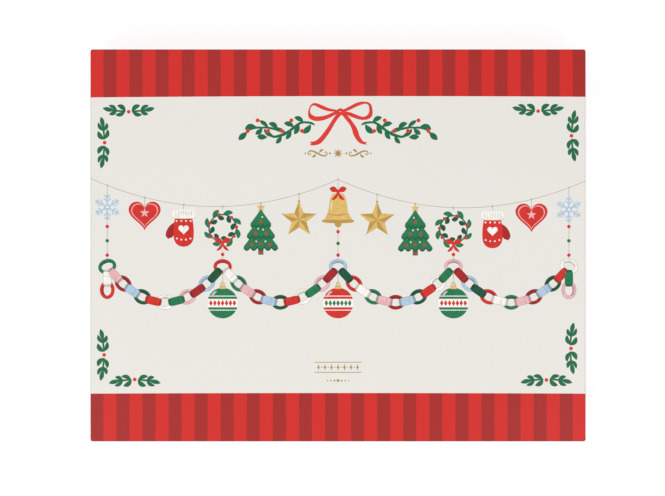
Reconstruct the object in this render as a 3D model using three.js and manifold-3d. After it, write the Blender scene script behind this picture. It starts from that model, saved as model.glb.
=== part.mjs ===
// A flat rigid gift box with a lift-off lid, closed, lying on its base.
// Millimetres, +Z up. X runs along the lid's long side, and +Y points to the edge of the
// lid that is the top of its print. The origin is the centre of the base's underside.
//
// The lid and the base are each a tray folded from greyboard. Paper stays hold the corners
// of each tray, and one sheet of paper wraps it and turns in over its rim. The lid's print
// is two striped bands on a cream ground.
import * as THREE from "three";
import { mergeVertices } from "three/addons/utils/BufferGeometryUtils.js";
import Module from "manifold-3d";

const wasm = await Module();
wasm.setup();

// Driving dimensions
const LID_LENGTH = 304.8; // over the wrap
const LID_WIDTH = 241.3; // over the wrap
const BOX_HEIGHT = 38.1; // closed, over the wraps
const LID_DEPTH = 30; // from the lid's top face to its rim
const BOARD = 1.5; // greyboard
const WRAP = 0.2; // printed paper
const TURN_IN = 15; // of a wrap, up the inside of the wall
const TURN_IN_BEVEL = 5; // how far a turn-in's free edge is cut back at each corner
const SLIP_GAP = 0.6; // between the lid's turn-in and the base, on each side
const SEAT_GAP = 0.1; // between the base's rim and the lid that it carries
const CORNER_RADIUS = 1.4; // of the upright corners, seen from above
const FOLD_RADIUS = 0.8; // of the folds round the lid's top and the base's underside
const STAY = 0.15; // corner stay paper
const STAY_LEG = 18; // of a stay, each way from its corner
const STAY_MARGIN = 2; // from a stay's ends to the board's rim and fold
const MITRE_SLIT = 0.3; // between two walls of a tray at their corner
const SEAM = 0.4; // width of the line where a wrap's end flap stops short of the corner
const SEAM_DEPTH = 0.1;
const SEAM_INSET = 2.2; // of that line from the corner
const INK = 0.05; // one layer of print
const BAND_DEPTH = 29.5; // of a striped band across the lid's top face
const STRIPE_COUNT = 38; // along the lid's length

// Facets in a quarter turn
const CORNER_STEPS = 4;
const FOLD_STEPS = 3;

// Finishes
const cream = new THREE.Color().setRGB(0.92, 0.9, 0.87, THREE.SRGBColorSpace);
const red = new THREE.Color().setRGB(0.83, 0.21, 0.19, THREE.SRGBColorSpace);
const white = new THREE.Color().setRGB(0.9, 0.89, 0.86, THREE.SRGBColorSpace);
const kraft = new THREE.Color().setRGB(0.72, 0.58, 0.41, THREE.SRGBColorSpace);
const printedPaper = (color) => new THREE.MeshStandardMaterial({ color, roughness: 0.45, metalness: 0 });
const plainPaper = (color) => new THREE.MeshStandardMaterial({ color, roughness: 0.85, metalness: 0 });

// A closed three.js geometry as a solid that can be joined and cut.
function solid(geometry) {
  const bare = geometry.clone();
  bare.deleteAttribute("normal");
  bare.deleteAttribute("uv");
  const merged = mergeVertices(bare);
  return new wasm.Manifold(
    new wasm.Mesh({
      numProp: 3,
      vertProperties: new Float32Array(merged.attributes.position.array),
      triVerts: new Uint32Array(merged.index.array),
    }),
  );
}

// A solid as a named mesh.
function piece(name, body, material) {
  const { vertProperties, numProp, triVerts } = body.getMesh();
  const shared = new THREE.BufferGeometry();
  shared.setAttribute("position", new THREE.BufferAttribute(vertProperties, numProp));
  shared.setIndex(new THREE.BufferAttribute(triVerts, 1));
  const geometry = shared.toNonIndexed();
  geometry.computeVertexNormals();
  const mesh = new THREE.Mesh(geometry, material);
  mesh.name = name;
  return mesh;
}

// A plain box from one height to another.
function slab(length, width, zFrom, zTo, x = 0, y = 0) {
  const geometry = new THREE.BoxGeometry(length, width, Math.abs(zTo - zFrom));
  return solid(geometry.translate(x, y, (zFrom + zTo) / 2));
}

// The points of a rectangle with round corners, anticlockwise.
function roundedOutline(length, width, radius) {
  const points = [];
  for (let corner = 0; corner < 4; corner += 1) {
    const signX = corner === 0 || corner === 3 ? 1 : -1;
    const signY = corner < 2 ? 1 : -1;
    for (let step = 0; step <= CORNER_STEPS; step += 1) {
      const angle = (Math.PI / 2) * (corner + step / CORNER_STEPS);
      const x = signX * (length / 2 - radius) + radius * Math.cos(angle);
      const y = signY * (width / 2 - radius) + radius * Math.sin(angle);
      points.push([x, y]);
    }
  }
  return points;
}

// A block with round upright corners: flat at its rim end, round at the edge of its fold end.
function foldedBlock(length, width, rimZ, foldZ, cornerRadius, foldRadius) {
  const up = Math.sign(foldZ - rimZ);
  const levels = [{ z: rimZ, inset: 0 }];
  for (let step = 0; step <= FOLD_STEPS; step += 1) {
    const angle = (Math.PI / 2) * (step / FOLD_STEPS);
    const z = foldZ - up * foldRadius * (1 - Math.sin(angle));
    levels.push({ z, inset: foldRadius * (1 - Math.cos(angle)) });
  }
  const rings = levels.map(({ z, inset }) =>
    roundedOutline(length - 2 * inset, width - 2 * inset, cornerRadius - inset).map(([x, y]) => [x, y, z]),
  );
  const count = rings[0].length;
  const index = [];
  const triangle = (a, b, c) => index.push(...(up > 0 ? [a, b, c] : [a, c, b]));
  for (let level = 0; level < rings.length - 1; level += 1) {
    for (let i = 0; i < count; i += 1) {
      const [a, b] = [level * count + i, level * count + ((i + 1) % count)];
      triangle(a, b, b + count);
      triangle(a, b + count, a + count);
    }
  }
  const last = (rings.length - 1) * count;
  for (let i = 1; i < count - 1; i += 1) {
    triangle(0, i + 1, i);
    triangle(last, last + i, last + i + 1);
  }
  const geometry = new THREE.BufferGeometry();
  geometry.setAttribute("position", new THREE.Float32BufferAttribute(rings.flat(2), 3));
  return solid(geometry.setIndex(index));
}

// The four corners of a tray, as signs of x and y with the name of each.
const CORNERS = [
  { name: "front_left", x: -1, y: -1 },
  { name: "front_right", x: 1, y: -1 },
  { name: "rear_right", x: 1, y: 1 },
  { name: "rear_left", x: -1, y: 1 },
];

// How far the corner stays reach along the walls, at each corner of a tray.
function stayReaches({ length, width, rimZ, foldZ, up }) {
  const zFrom = rimZ + up * (WRAP + STAY_MARGIN);
  const zTo = foldZ - up * (WRAP + STAY_MARGIN);
  return CORNERS.map(({ name, x, y }) => {
    const reach = slab(2 * STAY_LEG, 2 * STAY_LEG, zFrom, zTo, (x * length) / 2, (y * width) / 2);
    return { name, reach };
  });
}

// The slits between neighbouring walls, which only the panel joins.
function mitreSlits({ length, width, rimZ, foldZ, up }) {
  const height = Math.abs(foldZ - rimZ) - WRAP - BOARD - MITRE_SLIT;
  return CORNERS.map(({ x, y }) => {
    const slit = new THREE.BoxGeometry(6 * BOARD, MITRE_SLIT, height);
    slit.rotateZ((x * y * Math.PI) / 4);
    const inset = WRAP + BOARD / 2;
    slit.translate(x * (length / 2 - inset), y * (width / 2 - inset), rimZ + (up * height) / 2);
    return solid(slit);
  });
}

// The block that a wrap's turned-in edge stands round, its free edge cut back at each corner.
function turnInBlock({ length, width, rimZ, up }) {
  const inside = 2 * (WRAP + BOARD);
  const [outerLength, outerWidth] = [length - inside, width - inside];
  let block = slab(outerLength, outerWidth, rimZ - up, rimZ + up * TURN_IN);
  const notch = new THREE.Shape([
    new THREE.Vector2(0, 0),
    new THREE.Vector2(TURN_IN_BEVEL, TURN_IN),
    new THREE.Vector2(-TURN_IN_BEVEL, TURN_IN),
  ]);
  const across = { depth: 4 * WRAP, bevelEnabled: false };
  for (const { x, y } of CORNERS) {
    for (const along of [new THREE.Vector3(1, 0, 0), new THREE.Vector3(0, 1, 0)]) {
      const upright = new THREE.Vector3(0, 0, up);
      const through = new THREE.Vector3().crossVectors(along, upright);
      const cut = new THREE.ExtrudeGeometry(notch, across).translate(0, 0, -2 * WRAP);
      cut.applyMatrix4(new THREE.Matrix4().makeBasis(along, upright, through));
      cut.translate((x * outerLength) / 2, (y * outerWidth) / 2, rimZ + up * 2 * WRAP);
      block = block.subtract(solid(cut));
    }
  }
  return block;
}

// The lines where a wrap's end flaps stop, on the two short walls near the corners.
function seamLines({ length, width, rimZ, foldZ, up }) {
  const [zFrom, zTo] = [rimZ - up, foldZ - up * 2 * FOLD_RADIUS];
  const clear = 1;
  const middle = length / 2 + (clear - SEAM_DEPTH) / 2;
  return CORNERS.map(({ x, y }) =>
    slab(SEAM_DEPTH + clear, SEAM, zFrom, zTo, x * middle, y * (width / 2 - SEAM_INSET)),
  );
}

// A wrapped tray: its folded board, its corner stays and its paper wrap.
function wrappedTray(tray) {
  const { length, width, rimZ, foldZ, up } = tray;
  const inset = (by) => [length - 2 * by, width - 2 * by];
  const outside = foldedBlock(length, width, rimZ, foldZ, CORNER_RADIUS, FOLD_RADIUS);
  const [boardRimZ, boardFoldZ] = [rimZ + up * WRAP, foldZ - up * WRAP];
  const core = foldedBlock(...inset(WRAP), boardRimZ, boardFoldZ, CORNER_RADIUS - WRAP, FOLD_RADIUS - WRAP);
  const [pressedLength, pressedWidth] = inset(WRAP + STAY);
  const pressedRadius = CORNER_RADIUS - WRAP - STAY;
  const pressed = foldedBlock(
    pressedLength, pressedWidth, rimZ, boardFoldZ, pressedRadius, FOLD_RADIUS - WRAP,
  );
  let board = core.subtract(slab(...inset(WRAP + BOARD), rimZ - up, foldZ - up * (WRAP + BOARD)));
  const stays = [];
  for (const { name, reach } of stayReaches(tray)) {
    board = board.subtract(reach.subtract(pressed));
    stays.push({ name, body: core.intersect(reach).subtract(pressed) });
  }
  for (const slit of mitreSlits(tray)) board = board.subtract(slit);
  const mouth = slab(...inset(2 * WRAP + BOARD), rimZ - up, rimZ + up * (TURN_IN + 1));
  let wrap = outside.subtract(core.subtract(turnInBlock(tray))).subtract(mouth);
  for (const line of seamLines(tray)) wrap = wrap.subtract(line);
  return { board, stays, wrap };
}

// One striped band: a ground of one ink, with each second stripe a layer of darker ink on it.
// It is drawn on the flat sheet, so its stripes run down the long wall and lie along the short ones.
function stripedBand(lid, side, firstDark) {
  const { length, width, rimZ, foldZ } = lid;
  const clear = 1;
  const pitch = length / STRIPE_COUNT;
  const printed = (layers) => {
    const out = layers * INK;
    const [cornerRadius, foldRadius] = [CORNER_RADIUS + out, FOLD_RADIUS + out];
    return foldedBlock(
      length + 2 * out, width + 2 * out, rimZ - clear, foldZ + out, cornerRadius, foldRadius,
    );
  };
  const depth = BAND_DEPTH + clear;
  const middleY = side * (width / 2 - BAND_DEPTH / 2 + clear / 2);
  const darkStripes = [];
  for (let i = firstDark; i < STRIPE_COUNT; i += 2) {
    const x = (i + 0.5) * pitch - length / 2;
    darkStripes.push(slab(pitch, depth + clear, rimZ - 2 * clear, foldZ + clear, x, middleY));
  }
  const wallRows = Math.ceil(LID_DEPTH / pitch);
  const wallFrom = length / 2 - 0.75 * FOLD_RADIUS;
  const wallTo = length / 2 + clear;
  for (const end of [-1, 1]) {
    const edgeStripe = end < 0 ? 0 : STRIPE_COUNT - 1;
    const edgeIsDark = (edgeStripe - firstDark) % 2 === 0;
    for (let row = edgeIsDark ? 1 : 0; row < wallRows; row += 2) {
      const topZ = row === 0 ? foldZ + clear : foldZ - row * pitch;
      const lowZ = Math.max(foldZ - (row + 1) * pitch, rimZ - 2 * clear);
      const x = (end * (wallFrom + wallTo)) / 2;
      darkStripes.push(slab(wallTo - wallFrom, depth + clear, lowZ, topZ, x, middleY));
    }
  }
  const paper = foldedBlock(length, width, rimZ - 2 * clear, foldZ, CORNER_RADIUS, FOLD_RADIUS);
  const dark = wasm.Manifold.union(darkStripes);
  const zone = slab(length + 2 * clear, depth, rimZ, foldZ + clear, 0, middleY);
  let band = printed(1).add(printed(2).intersect(dark)).intersect(zone).subtract(paper);
  for (const line of seamLines(lid)) band = band.subtract(line);
  return band;
}

// The lid, rim down, and the base that it slips over, rim up
const lid = { length: LID_LENGTH, width: LID_WIDTH, rimZ: BOX_HEIGHT - LID_DEPTH, foldZ: BOX_HEIGHT, up: 1 };
const baseInset = 2 * (2 * WRAP + BOARD + SLIP_GAP);
const baseHeight = BOX_HEIGHT - WRAP - BOARD - SEAT_GAP;
const base = { length: LID_LENGTH - baseInset, width: LID_WIDTH - baseInset, rimZ: baseHeight, foldZ: 0, up: -1 };
const lidTray = wrappedTray(lid);
const baseTray = wrappedTray(base);

const box = new THREE.Group();
box.add(piece("lid_board", lidTray.board, plainPaper(white)));
box.add(piece("lid_wrap", lidTray.wrap, printedPaper(cream)));
for (const { name, body } of lidTray.stays) box.add(piece(`lid_stay_${name}`, body, plainPaper(kraft)));
box.add(piece("print_band_rear", stripedBand(lid, 1, 1), printedPaper(red)));
box.add(piece("print_band_front", stripedBand(lid, -1, 0), printedPaper(red)));
box.add(piece("base_board", baseTray.board, plainPaper(white)));
box.add(piece("base_wrap", baseTray.wrap, printedPaper(red)));
for (const { name, body } of baseTray.stays) box.add(piece(`base_stay_${name}`, body, plainPaper(kraft)));

export default box;
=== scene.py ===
import bmesh
import bpy
import numpy as np
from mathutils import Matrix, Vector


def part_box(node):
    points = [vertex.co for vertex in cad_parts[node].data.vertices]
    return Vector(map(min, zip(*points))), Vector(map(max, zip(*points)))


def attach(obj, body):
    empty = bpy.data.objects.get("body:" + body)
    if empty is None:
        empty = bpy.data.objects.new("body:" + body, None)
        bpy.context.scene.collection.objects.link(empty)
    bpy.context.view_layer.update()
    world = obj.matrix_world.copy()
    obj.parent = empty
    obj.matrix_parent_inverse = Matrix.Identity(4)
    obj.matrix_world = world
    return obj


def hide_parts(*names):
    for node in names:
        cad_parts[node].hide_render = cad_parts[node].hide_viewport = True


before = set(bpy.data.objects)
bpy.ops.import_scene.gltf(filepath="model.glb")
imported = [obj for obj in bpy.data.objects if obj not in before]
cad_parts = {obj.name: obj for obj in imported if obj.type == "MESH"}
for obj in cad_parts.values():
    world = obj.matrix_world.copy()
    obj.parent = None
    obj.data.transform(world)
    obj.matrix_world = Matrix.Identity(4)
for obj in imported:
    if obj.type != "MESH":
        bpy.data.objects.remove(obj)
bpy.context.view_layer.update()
bpy.context.scene.view_settings.view_transform = "Standard"


# The view: the closed box lies flat on a white table and is seen from straight above.
# The lens is long, so the walls hardly show. The box stands a little off the picture's middle.

MM = 0.001
LID_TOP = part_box("lid_wrap")[1][2]
PICTURE_WIDTH = 665  # in pixels
PIXEL = 0.6152 * MM  # what one of them spans on the lid
LENS = 100
SENSOR = 36


def placed(name, data):
    """A new object at the origin that holds a camera, a lamp or a mesh."""
    made = bpy.data.objects.new(name, data)
    bpy.context.collection.objects.link(made)
    return made


camera_data = bpy.data.cameras.new("camera")
camera_data.lens = LENS
camera_data.sensor_width = SENSOR
camera = placed("camera", camera_data)
camera.location = (-5.56 * PIXEL, -2.63 * PIXEL, LID_TOP + PICTURE_WIDTH * PIXEL * LENS / SENSOR)
bpy.context.scene.camera = camera


# The two trays are folded from 1.5 mm greyboard with a matt white liner, which shows inside
# the box. The solids have the true form, so they only get the liner's finish: a soft white
# with faint clouds, short fibres and a little tooth.


def srgb(red, green, blue):
    """The linear colour of one given as 0 to 255 on a screen."""
    c = np.array([red, green, blue]) / 255
    linear = np.where(c <= 0.04045, c / 12.92, ((c + 0.055) / 1.055) ** 2.4)
    return (*(float(v) for v in linear), 1.0)


def add(tree, kind, inputs=(), **settings):
    """Adds a node to a tree: settings are its own, and inputs pairs a socket with a value or with another
    node's output."""
    made = tree.nodes.new("ShaderNode" + kind)
    for key, value in settings.items():
        setattr(made, key, value)
    for socket, value in dict(inputs).items():
        if isinstance(value, bpy.types.NodeSocket):
            tree.links.new(value, made.inputs[socket])
        else:
            made.inputs[socket].default_value = value
    return made


def maths(tree, operation, a, b=0.0, c=0.0):
    """The output of one Math node."""
    return add(tree, "Math", {0: a, 1: b, 2: c}, operation=operation).outputs[0]


def mixed(tree, share, first, second, blend_type="MIX"):
    """A share of the second colour in the first, or with MULTIPLY that share of their product."""
    colours = {0: share, 6: first, 7: second}
    return add(tree, "Mix", colours, data_type="RGBA", blend_type=blend_type).outputs[2]


def noise(tree, place, scale, detail, **more):
    """A cloudy value, with scale as the number of its patches to a metre."""
    return add(tree, "TexNoise", {"Vector": place, "Scale": scale, "Detail": detail, **more}).outputs["Fac"]


def effect(name, inputs, outputs):
    """An empty node group with its named inputs and outputs, and its two end nodes."""
    tree = bpy.data.node_groups.new(name, "ShaderNodeTree")
    for key, kind, value in inputs:
        socket = tree.interface.new_socket(key, in_out="INPUT", socket_type="NodeSocket" + kind)
        socket.default_value = value
    for key, kind in outputs:
        tree.interface.new_socket(key, in_out="OUTPUT", socket_type="NodeSocket" + kind)
    return tree, tree.nodes.new("NodeGroupInput"), tree.nodes.new("NodeGroupOutput")


def paper_surface():
    """Paper from close by. Clouds of a few centimetres and fibres of about a millimetre change the tone.
    Fine grain changes the gloss, and together with the fibres it lifts the surface."""
    tree, given, made = effect(
        "paper_surface",
        [("Grain Size", "Float", 0.0004), ("Tone Change", "Float", 0.03), ("Relief", "Float", 0.00001)],
        [("Tone", "Float"), ("Gloss Change", "Float"), ("Normal", "Vector")],
    )
    place = add(tree, "TexCoord").outputs["Object"]
    clouds = noise(tree, place, 28, 2)
    laid = add(tree, "Mapping", {"Vector": place, "Rotation": (0.2, 0.3, 0.6), "Scale": (1, 0.22, 0.6)})
    fibres = noise(tree, laid.outputs[0], 2400, 2, Distortion=1.5)
    per_metre = maths(tree, "DIVIDE", 1.0, given.outputs["Grain Size"])
    grain = noise(tree, place, per_metre, 3)
    spread = maths(tree, "ADD", maths(tree, "SUBTRACT", clouds, 0.5), maths(tree, "SUBTRACT", fibres, 0.5))
    tone = maths(tree, "MULTIPLY_ADD", spread, given.outputs["Tone Change"], 1.0)
    height = maths(tree, "MULTIPLY_ADD", fibres, 0.6, grain)
    bump = add(tree, "Bump", {"Strength": 1.0, "Distance": given.outputs["Relief"], "Height": height})
    tree.links.new(tone, made.inputs["Tone"])
    tree.links.new(maths(tree, "SUBTRACT", grain, 0.5), made.inputs["Gloss Change"])
    tree.links.new(bump.outputs[0], made.inputs["Normal"])
    return tree


PAPER_SURFACE = paper_surface()
PAPER_SPECULAR = 0.25


def finish_start(name, specular, roughness):
    """A new material and its Principled shader, with two values set on the shader's own sockets."""
    made = bpy.data.materials.new(name)
    made.use_nodes = True
    shader = made.node_tree.nodes["Principled BSDF"]
    shader.inputs["Specular IOR Level"].default_value = specular
    shader.inputs["Roughness"].default_value = roughness
    return made, made.node_tree, shader


def paper_of(tree, shader, colour, grain, tone_change, relief, roughness, gloss_change):
    """Puts the paper's surface over a colour and feeds the shader. Grain and relief are in mm."""
    values = {"Grain Size": grain * MM, "Tone Change": tone_change, "Relief": relief * MM}
    paper = add(tree, "Group", values, node_tree=PAPER_SURFACE)
    toned = mixed(tree, 1.0, colour, paper.outputs["Tone"], "MULTIPLY")
    tree.links.new(toned, shader.inputs["Base Color"])
    gloss = maths(tree, "MULTIPLY_ADD", paper.outputs["Gloss Change"], gloss_change, roughness)
    tree.links.new(gloss, shader.inputs["Roughness"])
    tree.links.new(paper.outputs["Normal"], shader.inputs["Normal"])


def plain_paper(name, colour, grain, tone_change, relief, roughness):
    """Uncoated paper or board of one colour."""
    made, tree, shader = finish_start(name, PAPER_SPECULAR, roughness)
    paper_of(tree, shader, colour, grain, tone_change, relief, roughness, gloss_change=0.1)
    return made


def dress(names, material):
    """Gives a finish to every slot of some of the solids."""
    for name in names:
        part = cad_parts[name]
        part.data.materials.clear()
        part.data.materials.append(material)


LINER_WHITE = srgb(228, 225, 217)
white_liner = plain_paper(
    "white_liner", LINER_WHITE, grain=0.35, tone_change=0.05, relief=0.02, roughness=0.85
)
dress(["lid_board", "base_board"], white_liner)


# The corner stays are strips of gummed kraft paper pressed over the trays' corners before
# they are wrapped. They only show if a wrap is torn off.

CORNERS = ["front_left", "front_right", "rear_right", "rear_left"]
KRAFT_BROWN = srgb(186, 152, 110)
gummed_kraft = plain_paper(
    "gummed_kraft", KRAFT_BROWN, grain=0.5, tone_change=0.12, relief=0.03, roughness=0.8
)
dress([f"{tray}_stay_{corner}" for tray in ("lid", "base") for corner in CORNERS], gummed_kraft)


# The base's wrap is one sheet of red coated paper, glued round the tray and turned in over
# its rim. Its turned-in edges are cut back at the corners. On the short walls its end flaps
# stop just short of the corner, which leaves a fine line there.

BOARD = 1.5 * MM
SHEET = 0.2 * MM
GLUED_SIDE = 0.9 * SHEET  # a little short of the board, so that the two don't meet
TURN_IN = 15 * MM
TURN_IN_BEVEL = 5 * MM
TURN_IN_LEFT = 0.04  # the share of the turn-in that is left in a corner
CORNER_RADIUS = 1.4 * MM
FOLD_RADIUS = 0.8 * MM
RIM_RADIUS = 0.45 * MM
FOLD_END = 1.4 * FOLD_RADIUS  # how far from the edge the paper is flat again
RIM_END = 1.4 * RIM_RADIUS
SEAM_INSET = 2.2 * MM
SEAM_WIDTH = 0.4 * MM
SEAM_DEPTH = 0.1 * MM
TURNED_POINTS = 4
QUARTER_POINTS = 7
CORNER_POINTS = 6


def direction(angle):
    """The arrows of length 1 at angles in radians: (cos, sin)."""
    return np.stack([np.cos(angle), np.sin(angle)], -1)


def quarter(centre_inset, centre_height, radius, start):
    """Points (inset, height) of a clockwise quarter turn from a start angle in degrees."""
    angle = np.radians(np.linspace(start, start - 90, QUARTER_POINTS))
    return np.array([centre_inset, centre_height]) + radius * direction(angle)


def wrap_section(height, thin):
    """One side of a wrap's section, as (inset from the wall's face, height over the rim): from the
    turn-in's free edge down to the rim, round the board's two rim edges, up the wall, over the fold and
    onto the panel. thin takes it in by the paper's thickness for the glued side. With it comes 1 for the
    middle of a crease and 0 for flat paper, and 1 for a point of the outside wall."""
    inner = BOARD + 2 * SHEET
    turned = [TURN_IN, 0.6 * TURN_IN, 3 * RIM_RADIUS, RIM_END]
    wall = [RIM_END, 4 * RIM_RADIUS, 0.5 * height, height - 4 * FOLD_RADIUS, height - FOLD_END]
    points = np.vstack(
        [
            np.stack([np.full(len(turned), inner - thin), turned], 1),
            quarter(inner - RIM_RADIUS, RIM_RADIUS, RIM_RADIUS - thin, 0),
            quarter(RIM_RADIUS, RIM_RADIUS, RIM_RADIUS - thin, -90),
            np.stack([np.full(len(wall), thin), wall], 1),
            quarter(FOLD_RADIUS, height - FOLD_RADIUS, FOLD_RADIUS - thin, 180),
            [[FOLD_END, height - thin]],
        ]
    )
    bend = np.sin(np.linspace(0, np.pi, QUARTER_POINTS))
    crease = np.concatenate([np.zeros(len(turned)), bend, bend, np.zeros(len(wall)), bend, [0]])
    wall_start = len(turned) + 2 * QUARTER_POINTS
    on_wall = np.zeros(len(points))
    on_wall[wall_start : wall_start + len(wall)] = 1
    return points, crease, on_wall


def wall_line(half, is_short):
    """Where a wall's points stand along it, from corner to corner: close together at the corners, at the
    cut-back ends of the turn-in and at the seam of a short wall, and far apart between."""
    end = half - CORNER_RADIUS
    places = [end, end - 0.25 * MM, half - BOARD - 2 * SHEET - TURN_IN_BEVEL, 0.66 * half, 0.33 * half]
    if is_short:
        places += [half - SEAM_INSET + share * SEAM_WIDTH for share in (0.5, 0.4, -0.4, -0.5)]
    return np.unique(np.round([0, *places, *(-p for p in places)], 7))


def wrap_round(length, width):
    """The way round a tray, anticlockwise from the right wall's middle: for each point its place on the
    rectangle of the corner radii's centres, the direction outwards, the distance walked, the flap that it
    lies on (0 right, 1 rear, 2 left, 3 front), its distance to the next inner corner, and 1 on seams."""
    place, out, flap, gap, seam = [], [], [], [], []
    for wall in range(4):
        is_short = wall % 2 == 0
        half = (width if is_short else length) / 2
        along = wall_line(half, is_short)
        turn = np.pi / 2 * wall
        ahead = np.array([-np.sin(turn), np.cos(turn)])
        outward = direction(turn)
        reach = (length if is_short else width) / 2 - CORNER_RADIUS
        place.append(outward * reach + along[:, None] * ahead)
        out.append(np.tile(outward, (len(along), 1)))
        own = np.full(len(along), wall)
        if is_short:
            line = half - SEAM_INSET
            own[along > line - 0.1 * SEAM_WIDTH] = (wall + 1) % 4
            own[along < -line - 0.1 * SEAM_WIDTH] = (wall + 3) % 4
        flap.append(own)
        gap.append(np.maximum(half - BOARD - 2 * SHEET - abs(along), 0))
        seam.append((abs(abs(along) - (half - SEAM_INSET)) < 0.45 * SEAM_WIDTH) * float(is_short))
        angle = turn + np.radians(np.linspace(0, 90, CORNER_POINTS + 2)[1:-1])
        centre = outward * reach + ahead * (half - CORNER_RADIUS)
        place.append(np.tile(centre, (CORNER_POINTS, 1)))
        out.append(direction(angle))
        flap.append(np.full(CORNER_POINTS, wall + 1 if is_short else wall))
        gap.append(np.zeros(CORNER_POINTS))
        seam.append(np.zeros(CORNER_POINTS))
    place, out = np.vstack(place), np.vstack(out)
    outline = place + CORNER_RADIUS * out
    step = np.linalg.norm(np.roll(outline, -1, 0) - outline, axis=1)
    walked = np.concatenate([[0], np.cumsum(step)[:-1]])
    return place, out, walked, step.sum(), np.concatenate(flap), np.concatenate(gap), np.concatenate(seam)


def merge(mesh):
    """Joins the points of a mesh that meet, which closes its poles and corners."""
    work = bmesh.new()
    work.from_mesh(mesh)
    bmesh.ops.remove_doubles(work, verts=work.verts, dist=1e-7)
    work.to_mesh(mesh)
    work.free()


def wrapped_tray(name, length, width, rim_z, fold_z):
    """A tray's wrap as one closed sheet of two parameters: the way round the tray, and the section across
    it from the panel's glued side round the turn-in's free edge to the panel's face. A point is its place
    on the way round, moved out of the wall by the corner radius less the section's inset and held inside
    the inset rectangle. The UV map flat_sheet gives each point's place on the sheet as it was printed,
    flat, in metres from its middle."""
    up = np.sign(fold_z - rim_z)
    height = abs(fold_z - rim_z)
    place, out, walked, total, flap, gap, seam = wrap_round(length, width)
    face, crease, on_wall = wrap_section(height, 0)
    glued = wrap_section(height, GLUED_SIDE)[0]
    section = np.vstack([glued[::-1], face])
    crease = np.concatenate([0 * crease, crease])
    on_wall = np.concatenate([0 * on_wall, on_wall])
    n, m, half = len(place), len(section), len(face)
    is_turned = (np.arange(m) >= half - TURNED_POINTS) & (np.arange(m) < half + TURNED_POINTS)
    cut_back = np.clip(gap / TURN_IN_BEVEL, TURN_IN_LEFT, 1)[:, None]
    rise = section[None, :, 1] - RIM_RADIUS
    rise = np.where(is_turned[None, :], rise * cut_back, rise) + RIM_RADIUS
    inset = section[None, :, 0] + SEAM_DEPTH * seam[:, None] * on_wall[None, :]
    size = np.array([length, width]) / 2
    flat_place = place[:, None] + out[:, None] * (CORNER_RADIUS - inset)[:, :, None]
    limit = size - inset[:, :, None]
    points = np.dstack([np.clip(flat_place, -limit, limit), rim_z + up * rise])

    across = np.linalg.norm(np.diff(face, axis=0), axis=1)
    from_panel = np.concatenate([np.cumsum(across[::-1])[::-1], [0]])
    from_panel = np.concatenate([from_panel[::-1], from_panel]) - FOLD_END
    i, j = np.meshgrid(np.arange(n), np.arange(m - 1), indexing="ij")
    i, j = i.ravel(), j.ravel()
    corner_i = np.stack([i, i + 1, i + 1, i], 1)
    corner_j = np.stack([j, j, j + 1, j + 1], 1)
    own = flap[i][:, None]
    middle = walked[[np.argmax(gap * (flap == k)) for k in range(4)]]
    sign = np.array([1, -1, -1, 1])[own]
    way = (np.append(walked, total)[corner_i] - middle[own] + total / 2) % total - total / 2
    outward = from_panel[corner_j]
    far = np.array([1, 1, -1, -1])[own]
    u = np.where(own % 2 == 0, far * (length / 2 + outward), sign * way)
    v = np.where(own % 2 == 0, sign * way, far * (width / 2 + outward))
    quads = (corner_i % n) * m + corner_j
    last, first = np.arange(n) * m + m - 1, (np.arange(n) * m)[::-1]
    spread = np.dstack([u, v])
    if up < 0:
        quads, spread, last, first = quads[:, ::-1], spread[:, ::-1], last[::-1], first[::-1]

    cloud = points.reshape(-1, 3)
    mesh = bpy.data.meshes.new(name)
    mesh.from_pydata(cloud.tolist(), [], [*quads.tolist(), last.tolist(), first.tolist()])
    uv = np.vstack([spread.reshape(-1, 2), cloud[last][:, :2], cloud[first][:, :2]])
    mesh.uv_layers.new(name="flat_sheet").data.foreach_set("uv", uv.ravel())
    # The crease attribute places painted shade and rubbed wear. It is half a fold's bend along the walls.
    # At the corners it is the full bend plus the whole outside wall.
    outside = np.maximum(crease, on_wall)[None, :]
    creased = np.maximum(0.5 * crease[None, :], outside * (gap == 0)[:, None])
    mesh.attributes.new("crease", "FLOAT", "POINT").data.foreach_set("value", creased.ravel())
    smooth = np.ones(len(quads) + 2, bool)
    smooth[-2:] = False
    mesh.polygons.foreach_set("use_smooth", smooth)
    merge(mesh)
    return placed(name, mesh)


def rubbed_and_shaded_creases():
    """Creased paper. Mask is how far it is rubbed back to its white fibres, only along creases, in short
    stretches and specks. Tone is painted shade, which darkens the colour by up to 0.28 in the middle of a
    crease."""
    tree, given, made = effect(
        "rubbed_and_shaded_creases", [("Wear", "Float", 0.3)], [("Mask", "Float"), ("Tone", "Float")]
    )
    place = add(tree, "TexCoord").outputs["Object"]
    crease = add(tree, "Attribute", attribute_name="crease").outputs["Fac"]
    stretches = noise(tree, place, 60, 3, Roughness=0.7)
    specks = noise(tree, place, 1500, 2)
    both = maths(tree, "MULTIPLY_ADD", specks, 0.5, stretches)
    raised = maths(tree, "MULTIPLY_ADD", crease, 0.25, both)
    limit = maths(tree, "SUBTRACT", 1.3, maths(tree, "MULTIPLY", given.outputs["Wear"], 0.3))
    over = add(tree, "MapRange", {0: raised, 1: limit, 2: 1.35, 3: 0.0, 4: 1.0}).outputs[0]
    tree.links.new(maths(tree, "MULTIPLY", over, crease), made.inputs["Mask"])
    # Tone: painted shade, darker by 0.28 where the crease attribute is 1.
    tree.links.new(maths(tree, "MULTIPLY_ADD", crease, -0.28, 1.0), made.inputs["Tone"])
    return tree


RUBBED_AND_SHADED_CREASES = rubbed_and_shaded_creases()
BARE_FIBRES = srgb(238, 228, 220)


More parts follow.
